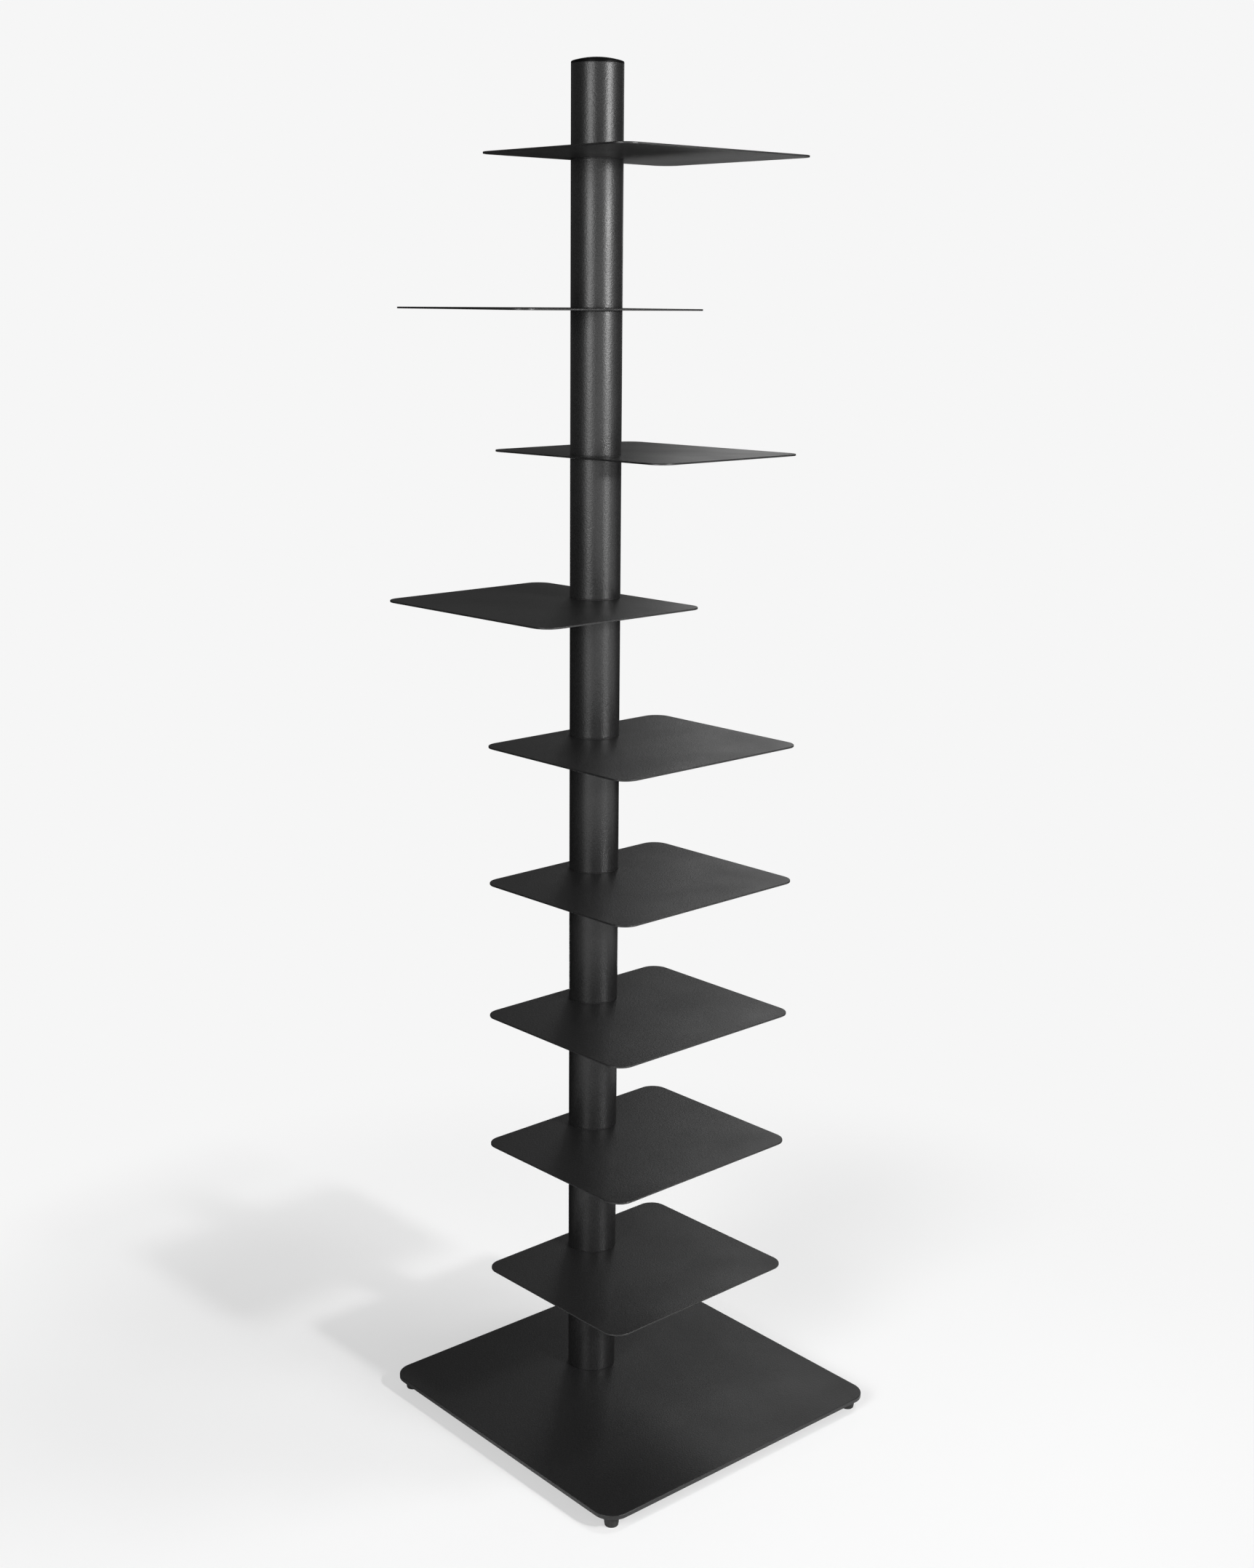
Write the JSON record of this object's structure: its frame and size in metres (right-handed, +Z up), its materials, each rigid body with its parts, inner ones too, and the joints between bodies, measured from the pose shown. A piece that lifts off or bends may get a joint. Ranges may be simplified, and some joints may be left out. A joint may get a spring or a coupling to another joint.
{
  "type": "revolving column shelf",
  "caption": "Free-standing column shelf: thin rectangular steel plates that each turn about a round upright column, over a heavier square base plate on rubber feet.",
  "frame": {"origin": "bottom centre of the bounding box at rest, on the floor between the feet", "axes": "+Z up along the column, front towards -Y, where most shelves and the longer part of the base reach; the column stands 41.4 mm behind the origin"},
  "size_m": [0.431, 0.4962, 1.6257],
  "materials": {
    "powder_coated_steel": "black, fine-textured satin powder coat",
    "cap_plastic": "black, glossy",
    "foot_rubber": "black, dull",
    "collar_nylon": "black, as moulded",
    "mill_finish_steel": "plain drawn and turned steel, lightly oiled",
    "zinc_plated_steel": "bright zinc plate"
  },
  "bodies": {
    "stand": {"base_plate": "powder_coated_steel", "foot_front_left": "foot_rubber", "foot_front_right": "foot_rubber", "foot_back_left": "foot_rubber", "foot_back_right": "foot_rubber", "foot_washers": "zinc_plated_steel", "foot_screws": "zinc_plated_steel", "mast_flange": "mill_finish_steel", "flange_screws": "zinc_plated_steel", "mast": "mill_finish_steel", "column_tube_1": "powder_coated_steel", "column_tube_2": "powder_coated_steel", "column_tube_3": "powder_coated_steel", "column_tube_4": "powder_coated_steel", "column_tube_5": "powder_coated_steel", "column_tube_6": "powder_coated_steel", "column_tube_7": "powder_coated_steel", "column_tube_8": "powder_coated_steel", "column_tube_9": "powder_coated_steel", "column_tube_10": "powder_coated_steel", "lower_collar_1": "collar_nylon", "lower_collar_2": "collar_nylon", "lower_collar_3": "collar_nylon", "lower_collar_4": "collar_nylon", "lower_collar_5": "collar_nylon", "lower_collar_6": "collar_nylon", "lower_collar_7": "collar_nylon", "lower_collar_8": "collar_nylon", "lower_collar_9": "collar_nylon", "upper_collar_1": "collar_nylon", "upper_collar_2": "collar_nylon", "upper_collar_3": "collar_nylon", "upper_collar_4": "collar_nylon", "upper_collar_5": "collar_nylon", "upper_collar_6": "collar_nylon", "upper_collar_7": "collar_nylon", "upper_collar_8": "collar_nylon", "upper_collar_9": "collar_nylon", "mast_plug": "mill_finish_steel", "tube_shoulder": "mill_finish_steel", "disc_spring": "mill_finish_steel", "clamp_washer": "zinc_plated_steel", "clamp_bolt": "zinc_plated_steel", "end_cap": "cap_plastic"},
    "shelf_1": {"shelf_1": "powder_coated_steel"},
    "shelf_2": {"shelf_2": "powder_coated_steel"},
    "shelf_3": {"shelf_3": "powder_coated_steel"},
    "shelf_4": {"shelf_4": "powder_coated_steel"},
    "shelf_5": {"shelf_5": "powder_coated_steel"},
    "shelf_6": {"shelf_6": "powder_coated_steel"},
    "shelf_7": {"shelf_7": "powder_coated_steel"},
    "shelf_8": {"shelf_8": "powder_coated_steel"},
    "shelf_9": {"shelf_9": "powder_coated_steel"}
  },
  "joints": [
    {"name": "shelf_1_turn", "type": "hinge", "parent": "stand", "child": "shelf_1", "pos_m": [0, 0.0414, 0.186], "axis": [0, 0, 1], "continuous": true},
    {"name": "shelf_2_turn", "type": "hinge", "parent": "stand", "child": "shelf_2", "pos_m": [0, 0.0414, 0.3525], "axis": [0, 0, 1], "continuous": true},
    {"name": "shelf_3_turn", "type": "hinge", "parent": "stand", "child": "shelf_3", "pos_m": [0, 0.0414, 0.519], "axis": [0, 0, 1], "continuous": true},
    {"name": "shelf_4_turn", "type": "hinge", "parent": "stand", "child": "shelf_4", "pos_m": [0, 0.0414, 0.6855], "axis": [0, 0, 1], "continuous": true},
    {"name": "shelf_5_turn", "type": "hinge", "parent": "stand", "child": "shelf_5", "pos_m": [0, 0.0414, 0.852], "axis": [0, 0, 1], "continuous": true},
    {"name": "shelf_6_turn", "type": "hinge", "parent": "stand", "child": "shelf_6", "pos_m": [0, 0.0414, 1.0185], "axis": [0, 0, 1], "continuous": true},
    {"name": "shelf_7_turn", "type": "hinge", "parent": "stand", "child": "shelf_7", "pos_m": [0, 0.0414, 1.185], "axis": [0, 0, 1], "continuous": true},
    {"name": "shelf_8_turn", "type": "hinge", "parent": "stand", "child": "shelf_8", "pos_m": [0, 0.0414, 1.3515], "axis": [0, 0, 1], "continuous": true},
    {"name": "shelf_9_turn", "type": "hinge", "parent": "stand", "child": "shelf_9", "pos_m": [0, 0.0414, 1.518], "axis": [0, 0, 1], "continuous": true}
  ]
}
